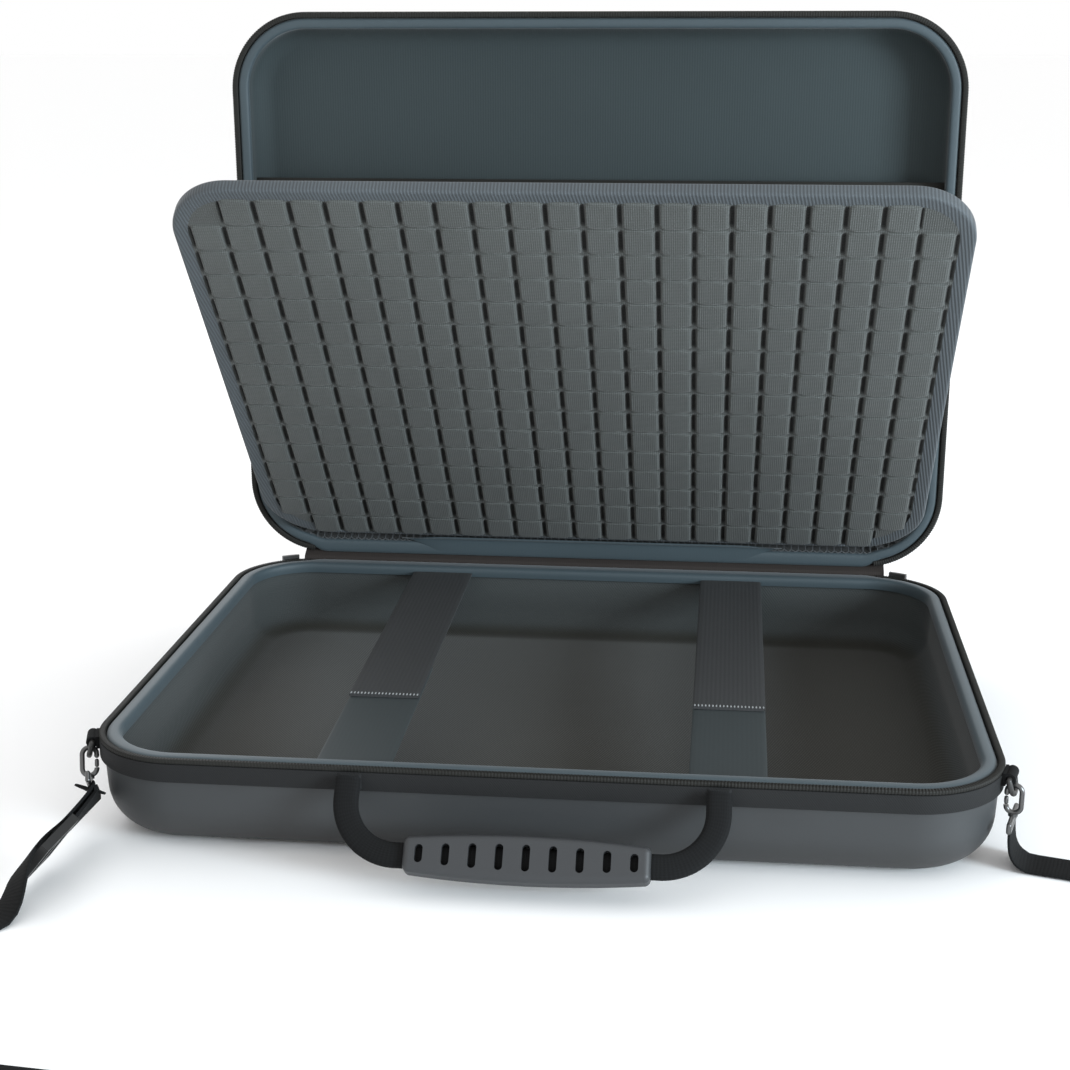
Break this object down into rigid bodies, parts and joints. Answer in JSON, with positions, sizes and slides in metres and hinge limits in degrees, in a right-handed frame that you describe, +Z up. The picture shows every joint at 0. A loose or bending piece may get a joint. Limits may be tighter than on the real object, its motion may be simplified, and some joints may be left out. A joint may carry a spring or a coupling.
{
  "type": "laptop hard case",
  "caption": "Zip-closed hard laptop case, lid open, padded divider leaning forward, elastic straps, net pocket, carrying handle and clipped shoulder strap.",
  "frame": {"origin": "centre of the flat underside of the base", "axes": "+X to the right across the case, +Y towards the hinge, +Z up out of the open base"},
  "size_m": [0.5886, 0.5791, 0.3806],
  "materials": {
    "shell": "smooth moulded foam cover, matte",
    "lining": "fine ribbed brushed lining",
    "lip": "rolled fabric edge",
    "tape": "twill zip tape",
    "teeth": "coil zip teeth",
    "pads": "woven cover over moulded pads",
    "binding": "ribbed binding tape",
    "net": "open net",
    "elastic": "ribbed elastic band",
    "webbing": "woven webbing",
    "grip": "soft moulded grip",
    "metal": "dark coated metal",
    "fitting": "dark moulded plastic"
  },
  "bodies": {
    "case": {"base_shell": "shell", "base_lining": "lining", "base_rim_lip": "lip", "base_zip_tape": "tape", "base_zip_teeth": "teeth", "spine_base": "tape", "hinge_tab_left": "tape", "hinge_tab_right": "tape", "handle_anchor_left": "webbing", "handle_anchor_right": "webbing", "strap_front_left": "elastic", "strap_front_right": "elastic", "strap_root_left": "elastic", "strap_root_right": "elastic", "ring_tab_left": "tape", "ring_tab_right": "tape", "snap_hook_left": "metal", "snap_hook_right": "metal", "hook_eye_left": "metal", "hook_eye_right": "metal", "shoulder_strap_left": "webbing", "shoulder_strap_return": "webbing", "strap_adjuster": "fitting", "shoulder_strap_run": "webbing", "shoulder_strap_right": "webbing"},
    "lid": {"lid_shell": "shell", "lid_lining": "lining", "lid_rim_lip": "lip", "lid_zip_tape": "tape", "lid_zip_teeth": "teeth", "spine_lid": "tape", "divider_flap": "pads", "mesh_pocket": "net", "pocket_zip_tape": "tape", "pocket_zip_teeth": "teeth"},
    "divider": {"divider_core": "pads", "divider_pads": "pads", "divider_binding": "binding", "divider_back": "pads"},
    "handle": {"handle_webbing_left": "webbing", "handle_webbing_right": "webbing", "handle_grip": "grip"},
    "strap_left": {"strap_rear_left": "elastic"},
    "strap_right": {"strap_rear_right": "elastic"},
    "slider_left": {"zip_slider_left": "metal"},
    "slider_right": {"zip_slider_right": "metal"},
    "pull_left": {"zip_pull_left": "metal"},
    "pull_right": {"zip_pull_right": "metal"},
    "pocket_runner": {"pocket_slider": "metal"},
    "pocket_tab": {"pocket_pull": "metal"},
    "ring_left": {"d_ring_left": "metal"},
    "ring_right": {"d_ring_right": "metal"},
    "gate_left": {"hook_gate_left": "metal"},
    "gate_right": {"hook_gate_right": "metal"}
  },
  "joints": [
    {"name": "lid_hinge", "type": "hinge", "parent": "case", "child": "lid", "pos_m": [0, 0.168, 0.0475], "axis": [-1, 0, 0], "range_deg": [-89.1, 90]},
    {"name": "divider_tilt", "type": "hinge", "parent": "lid", "child": "divider", "pos_m": [0, 0.1678, 0.061], "axis": [-1, 0, 0], "range_deg": [-39.8, 39.4]},
    {"name": "handle_swing", "type": "hinge", "parent": "case", "child": "handle", "pos_m": [0, -0.1686, 0.042], "axis": [-1, 0, 0], "range_deg": [-14, 110]},
    {"name": "strap_left_lift", "type": "hinge", "parent": "case", "child": "strap_left", "pos_m": [-0.091, 0.153, 0.04337], "axis": [-1, 0, 0], "range_deg": [0, 50]},
    {"name": "zip_slider_left_run", "type": "hinge", "parent": "case", "child": "slider_left", "pos_m": [-0.17, 0.12, 0.0475], "axis": [0, 0, 1], "range_deg": [0, 65]},
    {"name": "zip_pull_left_swing", "type": "hinge", "parent": "slider_left", "child": "pull_left", "pos_m": [-0.19121, 0.1655, 0.044], "axis": [0.9063, 0.4226, 0], "range_deg": [0, 80]},
    {"name": "ring_left_swing", "type": "hinge", "parent": "case", "child": "ring_left", "pos_m": [-0.21614, -0.13323, 0.0433], "axis": [-0.2756, 0.9613, 0], "range_deg": [-4, 4]},
    {"name": "gate_left_press", "type": "hinge", "parent": "case", "child": "gate_left", "pos_m": [-0.21253, -0.13974, 0.03215], "axis": [0.2258, -0.7874, 0.5736], "range_deg": [0, 14], "stiffness_Nm_per_rad": 0.002},
    {"name": "strap_right_lift", "type": "hinge", "parent": "case", "child": "strap_right", "pos_m": [0.088, 0.153, 0.04337], "axis": [-1, 0, 0], "range_deg": [0, 50]},
    {"name": "zip_slider_right_run", "type": "hinge", "parent": "case", "child": "slider_right", "pos_m": [0.17, 0.12, 0.0475], "axis": [0, 0, -1], "range_deg": [0, 65]},
    {"name": "zip_pull_right_swing", "type": "hinge", "parent": "slider_right", "child": "pull_right", "pos_m": [0.19121, 0.1655, 0.044], "axis": [0.9063, -0.4226, 0], "range_deg": [0, 80]},
    {"name": "ring_right_swing", "type": "hinge", "parent": "case", "child": "ring_right", "pos_m": [0.21614, -0.13323, 0.0433], "axis": [0.2756, 0.9613, 0], "range_deg": [-4, 4]},
    {"name": "gate_right_press", "type": "hinge", "parent": "case", "child": "gate_right", "pos_m": [0.21485, -0.13286, 0.0299], "axis": [0.2756, 0.9613, 0], "range_deg": [0, 14], "stiffness_Nm_per_rad": 0.002},
    {"name": "pocket_slider_run", "type": "slide", "parent": "lid", "child": "pocket_runner", "axis": [1, 0, 0], "range_m": [0, 0.375]},
    {"name": "pocket_pull_swing", "type": "hinge", "parent": "pocket_runner", "child": "pocket_tab", "pos_m": [-0.1924, 0.17574, 0.27664], "axis": [0, -0.0147, 0.9999], "range_deg": [0, 100]}
  ],
  "couplings": [
    {"joint": "divider_tilt", "follows": "lid_hinge", "ratio": -0.44112}
  ]
}
